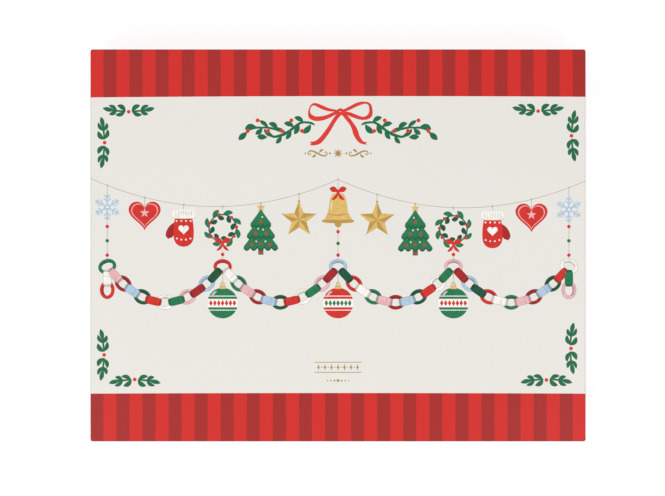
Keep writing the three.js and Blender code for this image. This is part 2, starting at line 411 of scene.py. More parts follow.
def creased_colour(tree, colour, wear):
    """A printed colour with painted shade along its creases, which turns to the paper's white where its
    creases are rubbed.
    """
    rubbed = add(tree, "Group", {"Wear": wear}, node_tree=RUBBED_AND_SHADED_CREASES)
    # The colour darkened by painted shade along the creases.
    bent = mixed(tree, 1.0, colour, rubbed.outputs["Tone"], "MULTIPLY")
    return mixed(tree, rubbed.outputs["Mask"], bent, BARE_FIBRES)


def coated_paper(tree, shader, colour, tone_change, roughness):
    """The finish of coated paper: a smooth sheen over very low grain."""
    paper_of(tree, shader, colour, 0.5, tone_change, 0.006, roughness, gloss_change=0.08)


PAPER_RED = srgb(208, 42, 36)
red_wrap, tree, shader = finish_start("red_wrap", PAPER_SPECULAR, roughness=0.32)
# The red gets painted shade and rubbed wear along its creases.
creased = creased_colour(tree, PAPER_RED, wear=0.6)
coated_paper(tree, shader, creased, tone_change=0.03, roughness=0.32)
low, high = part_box("base_wrap")
base_wrap = wrapped_tray("base_red_wrap", high[0] - low[0], high[1] - low[1], high[2], low[2])
base_wrap.data.materials.append(red_wrap)
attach(base_wrap, "base")
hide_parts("base_wrap")


# The lid's wrap is one sheet of coated paper printed before it is glued on: a cream ground
# with a band along each long side, striped in two reds. The bands run on over the folds, so
# the stripes go down the long walls and lie along the short ones, and show on the turn-in.

CREAM = srgb(237, 234, 228)
LIGHT_RED = srgb(214, 40, 34)
DARK_RED = srgb(169, 38, 34)
STRIPES = 38
BAND_EDGE = 91.2 * MM
REAR_BOW = 0.6 * MM
REAR_LEAN = 0.2 * MM
FRONT_BOW = -0.38 * MM

low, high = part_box("lid_wrap")
lid_length, lid_width = high[0] - low[0], high[1] - low[1]
printed_wrap, tree, shader = finish_start("printed_wrap", PAPER_SPECULAR, roughness=0.3)
sheet = add(tree, "SeparateXYZ", {0: add(tree, "UVMap", uv_map="flat_sheet").outputs[0]})
u, v = sheet.outputs[0], sheet.outputs[1]
share = add(tree, "Clamp", {0: maths(tree, "DIVIDE", u, lid_length / 2), 1: -1, 2: 1}).outputs[0]
bow = maths(tree, "SUBTRACT", 1, maths(tree, "MULTIPLY", share, share))
rear_line = maths(tree, "MULTIPLY_ADD", share, REAR_LEAN, BAND_EDGE)
rear_edge = maths(tree, "MULTIPLY_ADD", bow, REAR_BOW, rear_line)
front_edge = maths(tree, "MULTIPLY_ADD", bow, FRONT_BOW, BAND_EDGE)
rear = maths(tree, "GREATER_THAN", v, rear_edge)
front = maths(tree, "GREATER_THAN", maths(tree, "MULTIPLY", v, -1), front_edge)
pairs = maths(tree, "MULTIPLY_ADD", u, STRIPES / (2 * lid_length), STRIPES / 4)
even = maths(tree, "LESS_THAN", maths(tree, "FRACT", pairs), 0.5)
rear_dark = maths(tree, "MULTIPLY", rear, maths(tree, "SUBTRACT", 1, even))
dark = maths(tree, "MULTIPLY_ADD", front, even, rear_dark)
reds = mixed(tree, dark, LIGHT_RED, DARK_RED)
print_colour = mixed(tree, maths(tree, "ADD", rear, front), CREAM, reds)
# The print gets painted shade and rubbed wear along its creases.
coated_paper(tree, shader, creased_colour(tree, print_colour, wear=0.5), tone_change=0.012, roughness=0.3)
lid_wrap = wrapped_tray("lid_printed_wrap", lid_length, lid_width, low[2], high[2])
lid_wrap.data.materials.append(printed_wrap)
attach(lid_wrap, "lid")
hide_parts("lid_wrap", "print_band_rear", "print_band_front")


# The rest of the lid's print is flat ink on the cream, so each motif is a thin sheet that lies
# on the paper. Sprigs come first: in each corner two of them stand along the edges, each with
# two pairs of leaves and a tip leaf to either side of a red berry.

INK_LIFT = 0.02  # from here on, print is drawn in millimetres from the lid's middle
INK_LAYER = 0.006
LEAF_POINTS = 13
LEAF_GREEN = srgb(20, 105, 66)
BERRY_RED = srgb(227, 50, 38)


def ribbon(path, width, sides=(-0.5, 0.5)):
    """Flat bands along paths: a path's point moves along the path's normal by a share of the width, for
    each share in sides. The two ends of a closed path share one normal."""
    ahead = np.gradient(path, axis=-2)
    if np.allclose(path[..., 0, :], path[..., -1, :]):
        ahead[..., 0, :] = ahead[..., -1, :] = path[..., 1, :] - path[..., -2, :]
    ahead /= np.linalg.norm(ahead, axis=-1, keepdims=True)
    normal = np.stack([-ahead[..., 1], ahead[..., 0]], -1)
    shift = np.asarray(width)[..., None] * np.array(sides)
    return path[..., None, :] + normal[..., None, :] * shift[..., None]


def leaves(base, tip, width, bow):
    """Leaves from base to tip. The midline is the chord, moved sideways by bow times its length times
    sin(pi t), and the leaf is as wide as its width times sin(pi t^1.2)^0.8."""
    base, tip = np.atleast_2d(base).astype(float), np.atleast_2d(tip).astype(float)
    t = np.linspace(0, 1, LEAF_POINTS)
    chord = tip - base
    across = np.stack([-chord[:, 1], chord[:, 0]], 1)
    arch = np.sin(np.pi * t) * np.reshape(bow, (-1, 1))
    middle = base[:, None] + chord[:, None] * t[:, None] + across[:, None] * arch[..., None]
    return ribbon(middle, np.reshape(width, (-1, 1)) * np.abs(np.sin(np.pi * t**1.2)) ** 0.8)


def filled(outline, centre):
    """Flat shapes as straight lines from a centre to each point of a closed outline."""
    outline = np.asarray(outline, float)
    return np.stack([np.broadcast_to(np.asarray(centre, float)[..., None, :], outline.shape), outline], -2)


def discs(centre, radius, points=20):
    """Filled circles: centre + radius · (cos, sin)."""
    circle = direction(np.linspace(0, 2 * np.pi, points + 1))
    centre = np.atleast_2d(centre).astype(float)
    return filled(centre[:, None] + np.reshape(radius, (-1, 1, 1)) * circle, centre)


def printed(name, material, slot, *parts):
    """Lays grids of points on the lid as one mesh of ink. Each part is (grids, colour, layer). A later
    layer lies a little higher, neighbours within a part take turns in three thirds of their layer, and
    every face is turned up."""
    points, quads, inks, start = [], [], [], 0
    for grids, colour, layer in parts:
        grids = grids.reshape(-1, *grids.shape[-3:])
        shape = grids.shape[:3]
        ids = start + np.arange(np.prod(shape)).reshape(shape)
        quad = [ids[:, :-1, :-1], ids[:, 1:, :-1], ids[:, 1:, 1:], ids[:, :-1, 1:]]
        quad = np.stack(quad, -1).reshape(-1, 4)
        flat = grids.reshape(-1, 2)
        corner = flat[quad - start]
        diagonal, other = corner[:, 2] - corner[:, 0], corner[:, 3] - corner[:, 1]
        down = diagonal[:, 0] * other[:, 1] - diagonal[:, 1] * other[:, 0] < 0
        quad[down] = quad[down][:, ::-1]
        ink = np.broadcast_to(np.reshape(colour, (-1, 1, 4)), (shape[0], 4 * len(quad) // shape[0], 4))
        rise = INK_LIFT + INK_LAYER * (layer + np.arange(shape[0]) % 3 / 3)
        rise = np.repeat(rise, shape[1] * shape[2])
        points.append(np.column_stack([flat, rise]) * MM + [0, 0, LID_TOP])
        quads.append(quad)
        inks.append(ink.reshape(-1, 4))
        start += len(flat)
    mesh = bpy.data.meshes.new(name)
    mesh.from_pydata(np.vstack(points).tolist(), [], np.vstack(quads).tolist())
    ink = mesh.color_attributes.new("ink", "FLOAT_COLOR", "CORNER")
    ink.data.foreach_set("color", np.vstack(inks).ravel())
    merge(mesh)
    mesh.materials.append(material)
    made = placed(name, mesh)
    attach(made, "lid")


def in_places(grids, middle, right, up):
    """Copies of grids drawn in (u, v): middle + u · right + v · up, for each place."""
    middle, right, up = (a.astype(float)[:, None, None, None] for a in (middle, right, up))
    return middle + grids[..., :1] * right + grids[..., 1:] * up


printed_ink, tree, shader = finish_start("printed_ink", PAPER_SPECULAR, roughness=0.3)
blots = noise(tree, add(tree, "TexCoord").outputs["Object"], 320, 3, Roughness=0.6)
wash = add(tree, "MapRange", {0: blots, 1: 0.3, 2: 0.7, 3: 0.9, 4: 1.12}).outputs[0]
ink = add(tree, "Attribute", attribute_name="ink").outputs["Color"]
coated_paper(tree, shader, mixed(tree, 1.0, ink, wash, "MULTIPLY"), tone_change=0.02, roughness=0.3)

half_sprig = leaves(
    [(2.1, -0.6), (2.1, 0.8), (7.2, -0.1), (7.2, 1.1), (8.6, 0.7)],
    [(7.1, 3.9), (8.2, -1.8), (12.4, 3.9), (12.1, -1.5), (15.9, 2.3)],
    [2.9, 2.5, 2.3, 2.4, 2.7],
    [0.19, -0.17, 0.15, -0.13, -0.02],
)
stem_line = np.linspace((2.3, 0.1), (10.0, 0.9), LEAF_POINTS)
half_stem = ribbon(stem_line[None], np.linspace(1.0, 1.3, LEAF_POINTS)[None])
berries = np.array(
    [
        [(-128.8, 82.2), (-143.6, 63.2)],
        [(123.1, 82.6), (143.6, 67.4)],
        [(-125.1, -82.5), (-143.9, -67.4)],
        [(128.2, -82.8), (143.3, -63.4)],
    ]
)
outwards = np.array([[(0, 1), (-1, 0)], [(0, 1), (1, 0)], [(0, -1), (-1, 0)], [(0, -1), (1, 0)]])
along = np.abs(outwards[..., ::-1])
berry_drop = np.array([0, 0, 0, 0.6])[:, None, None]  # the front right berries sit further out
middle = np.tile((berries - berry_drop * outwards).reshape(-1, 2), (2, 1))
right = np.vstack([along.reshape(-1, 2), -along.reshape(-1, 2)])
up = np.tile(outwards.reshape(-1, 2), (2, 1))
printed(
    "corner_sprigs",
    printed_ink,
    "cream_wrap",
    (in_places(half_stem, middle, right, up), LEAF_GREEN, 2),
    *((in_places(leaf[None], middle, right, up), LEAF_GREEN, 3 + k) for k, leaf in enumerate(half_sprig)),
    (discs(berries.reshape(-1, 2), 1.15), BERRY_RED, 2),
)


# Two leafy branches hang out to the sides under the bow. In each, two stems cross, with
# alternate leaves and a few berries. The right one mirrors the left.


def smooth_path(points, count):
    """A smooth path through points, with any further columns carried along: on each stretch the cubic
    whose slope at a point is half the step between that point's two neighbours."""
    points = np.asarray(points, float)
    padded = np.vstack([2 * points[0] - points[1], points, 2 * points[-1] - points[-2]])
    t = np.linspace(0, len(points) - 1, count)
    k = np.minimum(t.astype(int), len(points) - 2)
    f = (t - k)[:, None]
    a, b, c, d = (padded[k + i] for i in range(4))
    return b + 0.5 * f * (c - a + f * (2 * a - 5 * b + 4 * c - d + f * (3 * (b - c) + d - a)))


lower_stem = smooth_path(
    [
        (-14.4, 74.1, 0.9), (-16.7, 75.3, 1.4), (-21.0, 75.7, 1.3), (-23.7, 75.0, 1.5),
        (-27.1, 72.5, 1.8), (-29.8, 70.5, 1.6), (-32.5, 68.8, 1.9), (-35.2, 67.7, 1.8),
        (-39.1, 66.8, 1.5), (-42.0, 67.8, 1.2), (-44.4, 70.2, 0.8),
    ],
    61,
)
upper_stem = smooth_path(
    [
        (-32.2, 69.4, 0.9), (-36.7, 71.0, 1.4), (-43.1, 72.4, 1.3), (-46.7, 72.4, 1.2),
        (-50.2, 72.4, 1.4), (-53.4, 71.6, 1.2), (-55.8, 70.1, 0.8), (-56.8, 68.8, 0.6),
    ],
    49,
)
stems = [ribbon(stem[:, :2], stem[:, 2])[None] for stem in (lower_stem, upper_stem)]
hanging_leaves = leaves(
    [
        (-23.9, 74.4), (-16.7, 74.6), (-28.8, 70.7), (-34.8, 67.6), (-46.6, 72.2), (-55.8, 69.8),
        (-43.4, 66.5),
    ],
    [
        (-27.0, 68.4), (-22.0, 69.1), (-32.2, 65.3), (-38.3, 62.7), (-50.9, 68.4), (-61.2, 64.9),
        (-49.9, 66.9),
    ],
    [3.1, 3.6, 2.7, 2.7, 3.1, 3.6, 3.4],
    [0.05, 0.1, 0.07, 0.08, 0.08, 0.0, 0.0],
)
standing_leaves = leaves(
    [
        (-21.2, 75.5), (-27.0, 72.6), (-37.2, 71.2), (-42.8, 72.3), (-50.0, 72.5), (-38.9, 66.8),
        (-41.2, 72.2),
    ],
    [
        (-27.0, 78.7), (-33.4, 75.1), (-42.7, 75.1), (-48.4, 76.8), (-57.3, 71.2), (-45.6, 71.6),
        (-32.4, 69.7),
    ],
    [3.0, 3.1, 3.1, 2.5, 3.1, 2.7, 2.6],
    [-0.12, -0.12, -0.16, -0.06, -0.2, 0.1, 0.04],
)
berry_places = [(-49.5, 76.9), (-55.6, 70.3), (-43.0, 70.4), (-34.7, 70.4), (-28.7, 76.9), (-22.2, 70.4)]
branch_berries = discs(berry_places, 1.2)


def mirrored(grids):
    """Grids with their mirror image about the lid's middle line."""
    return np.concatenate([grids, grids * [-1, 1]])


printed(
    "leafy_branches",
    printed_ink,
    "cream_wrap",
    (mirrored(stems[0]), LEAF_GREEN, 0),
    (mirrored(stems[1]), LEAF_GREEN, 1),
    (mirrored(hanging_leaves), LEAF_GREEN, 2),
    (mirrored(standing_leaves), LEAF_GREEN, 3),
    (mirrored(branch_berries), BERRY_RED, 4),
)


# The bow is drawn as one red ribbon: two loops whose stroke swells and thins as the ribbon
# turns, a round knot with a small open middle, and two tails with notched ends.

RIBBON_RED = srgb(224, 56, 45)

left_loop = smooth_path(
    [
        (-0.2, 82.7, 1.2), (-2.6, 83.0, 1.4), (-5.4, 83.4, 1.8), (-8.5, 84.4, 2.2), (-11.2, 85.6, 2.2),
        (-13.6, 86.6, 1.8), (-15.4, 86.7, 1.3), (-16.7, 85.6, 0.9), (-17.6, 83.6, 0.9),
        (-17.7, 81.4, 1.5), (-16.8, 79.3, 2.7), (-14.6, 78.1, 2.8), (-12.2, 77.9, 2.8),
        (-8.8, 78.4, 2.6), (-5.4, 79.6, 2.2), (-2.6, 81.0, 2.0), (0.0, 81.8, 1.7),
    ],
    97,
)
right_loop = smooth_path(
    [
        (2.9, 82.7, 1.4), (5.6, 83.7, 1.9), (8.3, 85.0, 2.0), (11.0, 86.4, 2.1), (13.8, 87.4, 2.0),
        (15.9, 87.7, 1.4), (17.9, 87.6, 1.3), (19.5, 86.4, 1.6), (20.1, 84.3, 1.8), (20.2, 82.0, 2.2),
        (19.5, 79.9, 2.6), (17.7, 78.6, 2.3), (15.5, 78.1, 1.9), (13.1, 78.5, 2.1), (10.3, 79.5, 2.3),
        (7.3, 80.7, 2.3), (4.9, 81.4, 1.9), (2.7, 81.9, 1.7),
    ],
    103,
)
left_tail = smooth_path(
    [
        (1.9, 81.3, 1.7), (-0.6, 79.2, 2.4), (-3.0, 75.8, 2.4), (-5.0, 72.4, 2.6), (-7.1, 69.3, 2.8),
        (-9.5, 66.2, 2.9), (-11.9, 63.8, 3.0), (-14.6, 62.8, 2.5), (-17.6, 62.6, 2.0),
    ],
    41,
)
right_tail = smooth_path(
    [
        (2.6, 81.3, 1.8), (4.1, 80.0, 2.3), (6.2, 77.6, 2.5), (8.1, 75.1, 2.4), (9.7, 72.4, 2.9),
        (10.8, 69.5, 3.4), (11.8, 66.9, 3.0), (13.3, 64.7, 2.6), (15.1, 63.2, 1.8), (18.2, 62.6, 1.3),
    ],
    41,
)
RING = np.linspace(0, 2 * np.pi, 25)
knot_ring = np.array([1.4, 82.3]) + 1.15 * (direction(RING) * [1.2, 1])


def notched(tail):
    """A tail as a ribbon of three lines whose middle one ends a little short, with its last points closed
    up, which leaves a notch."""
    grid = ribbon(tail[:, :2], tail[:, 2], (-0.5, 0, 0.5))
    grid[-5:, 1] = np.linspace(grid[-5, 1], grid[-3, 1], 5)
    return grid


def two_strands(loop):
    """A loop's ribbon cut in two at its far end, so that its ends may cross in the knot."""
    grid = ribbon(loop[:, :2], loop[:, 2])
    half = len(grid) // 2 + 1
    return np.stack([grid[:half], grid[-half:]])


printed(
    "ribbon_bow",
    printed_ink,
    "cream_wrap",
    (notched(left_tail), RIBBON_RED, 0),
    (notched(right_tail), RIBBON_RED, 1),
    (two_strands(left_loop), RIBBON_RED, 2),
    (two_strands(right_loop), RIBBON_RED, 3),
    (ribbon(knot_ring, np.full(len(RING), 1.7)), RIBBON_RED, 4),
)


# Three small ornaments are stamped in gold foil on the middle line: a star between scrolls
# under the bow, a row of diamonds between two lines near the front band, and dots below it.

FOIL_GOLD = srgb(166, 134, 80)
NO_INK = (1, 1, 1, 1)
SCROLL_LENGTH = 19.5
FINE_LINE = 0.42


def polar(centre, radius, points, turn=90.0):
    """Filled outlines whose radius takes given values in turn, such as stars and diamonds."""
    angle = np.radians(turn) + np.linspace(0, 2 * np.pi, points + 1)
    reach = np.resize(np.asarray(radius, float), points)
    reach = np.append(reach, reach[0])
    centre = np.atleast_2d(centre).astype(float)
    return filled(centre[:, None] + reach[:, None] * direction(angle), centre)


def scroll_shape():
    """An S whose line runs at 28 degrees in its middle and curls back by 330 degrees times |s|^3 to
    either end, s from -1 to 1. It is 1 mm wide in its middle and thins to 0.4 mm."""
    s = np.linspace(-1, 1, 121)
    steps = SCROLL_LENGTH / (len(s) - 1) * direction(np.radians(28 - 330 * np.abs(s) ** 3))
    path = np.array([12.6, 56.6]) + np.cumsum(steps, axis=0) - np.sum(steps, axis=0) / 2
    return ribbon(path, 0.4 + 0.6 * (1 - s**2) ** 1.5)


gold_foil, tree, shader = finish_start("gold_foil", specular=0.5, roughness=0.3)
shader.inputs["Metallic"].default_value = 1.0
paper_of(
    tree, shader, FOIL_GOLD, grain=0.25, tone_change=0.1, relief=0.01, roughness=0.3, gloss_change=0.25
)
scroll_leaves = leaves([(11.6, 56.8), (13.6, 56.4)], [(9.0, 58.9), (16.2, 54.3)], 1.3, [-0.15, -0.15])
rule = np.linspace((-14.5, -71.9), (14.5, -71.9), 9)
row = np.linspace((-12, -75.0), (12, -75.0), 7)
dots = np.linspace((-6.6, -83.2), (6.6, -83.2), 7)
printed(
    "gold_ornaments",
    gold_foil,
    "cream_wrap",
    (mirrored(scroll_shape()[None]), NO_INK, 0),
    (mirrored(scroll_leaves), NO_INK, 1),
    (polar([(0, 56.6)], [3.2, 1.2], points=16), NO_INK, 0),
    (mirrored(discs([(5.0, 56.6), (20.2, 56.6)], [0.6, 0.5])), NO_INK, 0),
    (polar(row, [2.1, 0.6, 1.1, 0.6], points=8), NO_INK, 0),
    (discs(row[:-1] + [2, 0], 0.36, 10), NO_INK, 0),
    (ribbon(np.stack([rule, rule - [0, 6.2]]), np.full((2, len(rule)), FINE_LINE)), NO_INK, 0),
    (discs(dots, [0.4, 0.5, 0.6, 0.9, 0.6, 0.5, 0.4], 12), NO_INK, 0),
)


# A fine tan string hangs across the cream in two scallops, and thirteen flat charms hang on
# it by threads, all plain shapes: a bell, and in pairs stars, trees, wreaths, mittens, hearts
# and snowflakes.

STRING_TAN = srgb(190, 176, 150)
INK_RED = srgb(213, 45, 36)
INK_DARK_RED = srgb(165, 30, 32)
INK_GREEN = srgb(28, 119, 77)
INK_DARK_GREEN = srgb(12, 80, 52)
INK_PINK = srgb(236, 184, 187)
INK_BLUE = srgb(176, 203, 224)
INK_WHITE = srgb(250, 247, 240)
INK_GREY = srgb(208, 202, 192)
INK_MUSTARD = srgb(224, 188, 108)
INK_DARK_MUSTARD = srgb(194, 152, 76)
INK_PALE_MUSTARD = srgb(241, 216, 158)
INK_BROWN = srgb(132, 88, 60)
STRING_WIDTH = 0.34
STRING_LOW = 23.5
STRING_SAG = 17
SCALLOP_HALF = 76.2
LINE_POINTS = 5
STROKE_POINTS = 25


def string_height(x):
    """Two scallops side by side, each a parabola, with a very slight fall to the right."""
    return STRING_LOW + STRING_SAG * ((np.abs(x) - SCALLOP_HALF) / SCALLOP_HALF) ** 2 - 0.005 * x


def drawn_at(parts, x, y, flip=1):
    """Parts drawn about their own origin, set down at a point, and mirrored where flip is -1."""
    return [(grids * [flip, 1] + [x, y], colour, layer) for grids, colour, layer in parts]


def line(start, end, width):
    """A straight stroke as a ribbon of one width."""
    return ribbon(np.linspace(start, end, LINE_POINTS), np.full(LINE_POINTS, float(width)))


def stroke(*points):
    """A smooth stroke through points (x, y, width)."""
    path = smooth_path(points, STROKE_POINTS)
    return ribbon(path[:, :2], path[:, 2])


def small_bow(y, size):
    """Two leaf-shaped red loops, two tails and a round knot."""
    loops = leaves([(0, 0), (0, 0)], [(4.2, 1.6), (-4.2, 1.6)], 2.8, [0.05, -0.05])
    tails = leaves([(0, 0), (0, 0)], [(3.2, -4.2), (-3.2, -4.2)], 1.5, [-0.12, 0.12])
    knot = discs([(0, 0.1)], 0.95, 14)
    return [(grids * size + [0, y], INK_RED, 4 + k) for k, grids in enumerate((tails, loops, knot))]


def bell():
    """The right side from the crown to the flared mouth, filled across to its mirror image."""
    side = [(0.3, 0), (2.9, -0.7), (4.5, -2.9), (5.4, -7), (6.1, -11.5), (7.8, -15.3), (9.4, -17.2)]
    side = smooth_path(side, 31)
    mouth = [(-9.9, -17.5, 0.7), (-7.8, -17.6, 1.9), (0, -17.9, 2.1), (7.8, -17.6, 1.9), (9.9, -17.5, 0.7)]
    return [
        (discs([(0, -19.3)], 2.1), INK_DARK_MUSTARD, 1),
        (np.stack([side * [-1, 1], side], 1), INK_MUSTARD, 2),
        (stroke(*mouth), INK_DARK_MUSTARD, 3),
        (stroke((-6.3, -13.2, 0.5), (0, -13.9, 0.8), (6.3, -13.2, 0.5)), INK_DARK_MUSTARD, 3),
        (leaves([(-3.1, -3.4)], [(-4.2, -11.6)], 1.3, -0.06), INK_PALE_MUSTARD, 3),
        *small_bow(0.6, 1.25),
    ]


def facets(centre, outer, inner, count):
    """A pointed star as narrow triangles from its middle, each point in two halves."""
    fan = polar([centre], [outer, inner], points=2 * count)
    return np.stack([fan[:, :-1], fan[:, 1:]], 2).reshape(-1, 2, 2, 2)


def star():
    """Ten triangles, light on one side of each point and dark on the other."""
    light_and_dark = np.resize([INK_MUSTARD, INK_DARK_MUSTARD], (10, 4))
    return [
        (facets((0, -11.2), 11.4, 4.9, 5), light_and_dark, 1),
        (discs([(0, 0)], 0.7, 12), INK_DARK_MUSTARD, 2),
    ]


def fir():
    """Three tiers over each other. In a tier half as wide as half · t^1.1 at depth t, the rows droop
    towards its edge by 1.7 t^4 |sin(5 pi s)|, s from 0 to 1 across, which scallops it. The same shape in
    dark green lies under it."""
    parts = [(line((0, -23.5), (0, -29.4), 3.2), INK_BROWN, 1)]
    t, s = np.meshgrid(np.linspace(0.02, 1, 13), np.linspace(0, 1, 41), indexing="ij")
    droop = 1.7 * t**4 * np.abs(np.sin(5 * np.pi * s))
    for apex, base, half, layer in ((-9.2, -24.4, 10.6, 2), (-4.8, -17.2, 8.6, 4), (-1.0, -10.2, 6.4, 6)):
        tier = np.stack([half * t**1.1 * (2 * s - 1), apex + (base - apex) * t - droop], -1)
        parts += [(tier * [1.02, 1] - [0, 1.0], INK_DARK_GREEN, layer), (tier, INK_GREEN, layer + 1)]
    balls = [(-5.6, -23.2), (0, -22.6), (5.6, -23.2), (-3.2, -16.2), (3.2, -16.2), (0, -8.8)]
    lights = [(-2.8, -21.2), (2.8, -21.2), (-1.4, -14.0), (1.6, -13.4), (-0.9, -6.2)]
    return [
        *parts,
        (discs(balls, 0.9, 12), INK_RED, 8),
        (discs(lights, 0.5, 10), INK_WHITE, 8),
        (polar([(0, -0.4)], [2.9, 1.2], points=10), INK_MUSTARD, 8),
    ]


def wreath():
    """Leaves along a thin ring, in turns bent outwards and inwards from the ring's direction."""
    radius = 8.4
    angle = np.linspace(0, 2 * np.pi, 17)[:-1]
    sway = np.resize([3.0, -2.4], 16)
    base = radius * direction(angle)
    tip = (radius + sway)[:, None] * direction(angle + np.radians(34))
    circle = radius * direction(np.linspace(0, 2 * np.pi, 49))
    centre = np.array([0, -11.4])
    berry = 8.6 * direction(np.radians([20, 75, 130, 175, 215, 325]))
    greens = np.resize([INK_GREEN, INK_DARK_GREEN], (16, 4))
    return [
        (ribbon(circle, np.full(49, 0.8)) + centre, INK_DARK_GREEN, 1),
        (leaves(base, tip, 2.9, np.sign(sway) * -0.1) + centre, greens, 2),
        (discs(berry, 1.0, 14) + centre, INK_RED, 3),
        *small_bow(-20.2, 1.2),
    ]


def mitten():
    """A broad stroke with a round end for the hand, a short one for the thumb, and a ribbed cuff."""
    thumb = [(3.4, -9.6, 4.6), (7.0, -12.6, 5.2), (9.0, -16.6, 4.4), (9.5, -18.4, 0.3)]
    hand = [
        (0, -5, 10.4), (0, -11, 12.2), (0, -17, 12.4), (0, -20.4, 10.6), (0, -22.6, 6.2),
        (0, -23.4, 0.4),
    ]
    cuff = [(-6.9, -3.1, 3.4), (-5.2, -3.1, 4.9), (0, -3.1, 5.2), (5.2, -3.1, 4.9), (6.9, -3.1, 3.4)]
    tops = np.linspace((-4.8, -1.2), (4.8, -1.2), 7)
    ribs = np.stack([tops, tops - [0, 3.8]], 1)
    return [
        (stroke(*thumb), INK_DARK_RED, 1),
        (stroke(*hand), INK_RED, 2),
        (stroke(*(np.array(cuff) + [0, -0.25, 0.5])), INK_GREY, 3),
        (stroke(*cuff), INK_WHITE, 4),
        (ribbon(ribs, np.full((7, 2), 0.35)), INK_GREY, 5),
        (heart_shape(0.2) + [0, -12.6], INK_WHITE, 5),
        (discs([(-4.2, -18.3), (-1.4, -19.0), (1.4, -19.0), (4.2, -18.3)], 0.55, 10), INK_WHITE, 5),
        (discs([(-4.3, -7.5), (-1.45, -7.5), (1.45, -7.5), (4.3, -7.5)], 0.55, 10), INK_WHITE, 5),
    ]


def heart_line(scale):
    """The closed curve x = 16 sin^3 a, y = 13 cos a - 5 cos 2a - 2 cos 3a - cos 4a."""
    a = np.linspace(0, 2 * np.pi, 41)
    y = 13 * np.cos(a) - 5 * np.cos(2 * a) - 2 * np.cos(3 * a) - np.cos(4 * a)
    return scale * np.stack([16 * np.sin(a) ** 3, y], 1)


def heart_shape(scale):
    """The heart's curve, filled from a point inside it."""
    return filled(heart_line(scale), (0, 0))


def heart():
    """A filled heart with a fine line inside its edge and a small star."""
    centre = np.array([0, -3.4])
    return [
        (heart_shape(0.62) + centre, INK_RED, 1),
        (np.stack([heart_line(0.52), heart_line(0.48)], 1) + centre, INK_PINK, 2),
        (polar([(0, 0.4)], [3.0, 1.25], points=10) + centre, INK_PINK, 3),
    ]


def snowflake():
    """Six arms with two pairs of barbs each, and a small hexagon round the middle."""
    turn = np.radians(np.arange(6) * 60 + 30)
    ahead, aside = direction(turn), np.stack([-np.sin(turn), np.cos(turn)], 1)
    centre = np.array([0, -8.4])
    arms = ribbon(np.stack([0 * ahead, 8.3 * ahead], 1), np.full((6, 2), 0.9))
    parts = [(arms + centre, INK_BLUE, 1)]
    for reach, barb, layer in ((3.6, 2.1, 2), (5.9, 1.6, 3)):
        tips = (reach + 0.8 * barb) * ahead
        barbs = np.stack([tips - barb * aside, reach * ahead, tips + barb * aside], 1)
        parts.append((ribbon(barbs, np.full((6, 3), 0.85)) + centre, INK_BLUE, layer))
    hexagon = polar([(0, 0)], [2.0], turn=0, points=6)
    return [*parts, (hexagon + centre, INK_BLUE, 4), (discs([centre], 0.7, 12), INK_WHITE, 5)]


hang_x = np.array([0, 24, 47.5, 71, 95, 119, 142])
hang_drop = np.array([8, 4.5, 2.5, 2, 2.5, 6.5, 5])
charms = [bell(), star(), fir(), wreath(), mitten(), heart(), snowflake()]
charm_parts = []
for x, drop, charm in zip(hang_x, hang_drop, charms):
    charm_parts += drawn_at(charm, x, string_height(x) - drop)
    if x:
        charm_parts += drawn_at(charm, -x, string_height(-x) - drop, -1)
string_x = np.linspace(-152.3, 152.3, 241)
string_line = np.stack([string_x, string_height(string_x)], 1)
every_x = np.append(-hang_x[:0:-1], hang_x)
knots = np.stack([every_x, string_height(every_x)], 1)
drops = np.stack([0 * every_x, np.append(hang_drop[:0:-1], hang_drop)], 1)
threads = np.stack([knots, knots - drops], 1)
printed(
    "string_of_charms",
    printed_ink,
    "cream_wrap",
    (ribbon(string_line, np.full(len(string_line), STRING_WIDTH)), STRING_TAN, 0),
    (ribbon(threads, np.full(threads.shape[:2], STRING_WIDTH)), STRING_TAN, 0),
    (discs(knots, 0.6, 12), STRING_TAN, 1),
    *charm_parts,
)


# Below the charms a chain of paper loops hangs in four swags, with a short tail at each end.
# Its loops take turns: one shows its open side as a ring, the next its edge as a broad band
# that covers the ends of the rings beside it and is darker where it turns away.

CHAIN_TOP = -13.0
CHAIN_SAG = 22.0
SWAG = 71.0
LOOPS_TO_A_SWAG = 12
LOOPS_TO_A_TAIL = 2
TAIL_LENGTH = 30
SWAG_POINTS = 801
TAIL_POINTS = 61
RING_POINTS = 33
BAND_POINTS = 17


def shade(colour, depth=0.6):
    """The same ink in shadow."""
    return np.asarray(colour) * [depth, depth, depth, 1]


swag_x = np.linspace(-2 * SWAG, 2 * SWAG, SWAG_POINTS)
share_of_swag = np.mod(swag_x / SWAG, 1)
swags = np.stack([swag_x, CHAIN_TOP - CHAIN_SAG * 4 * share_of_swag * (1 - share_of_swag)], 1)
tail = np.linspace((-2 * SWAG, CHAIN_TOP - TAIL_LENGTH), (-2 * SWAG, CHAIN_TOP - 0.1), TAIL_POINTS)
chain = np.vstack([tail, swags, tail[::-1] * [-1, 1]])
walked = np.concatenate([[0], np.cumsum(np.linalg.norm(np.diff(chain, axis=0), axis=1))])
peak, far_peak = walked[TAIL_POINTS], walked[TAIL_POINTS + SWAG_POINTS - 1]
pitch = (far_peak - peak) / (4 * LOOPS_TO_A_SWAG)
loops = 4 * LOOPS_TO_A_SWAG + 2 * LOOPS_TO_A_TAIL + 1
spots = peak + pitch * (np.arange(loops) - LOOPS_TO_A_TAIL)
loop_middle = np.stack([np.interp(spots, walked, axis) for axis in chain.T], 1)
loop_ahead = np.gradient(loop_middle, axis=0)
loop_ahead /= np.linalg.norm(loop_ahead, axis=1, keepdims=True)
loop_aside = np.stack([-loop_ahead[:, 1], loop_ahead[:, 0]], 1)
paper_inks = [INK_RED, INK_WHITE, INK_GREEN, INK_PINK, INK_DARK_RED, INK_BLUE, INK_DARK_GREEN]
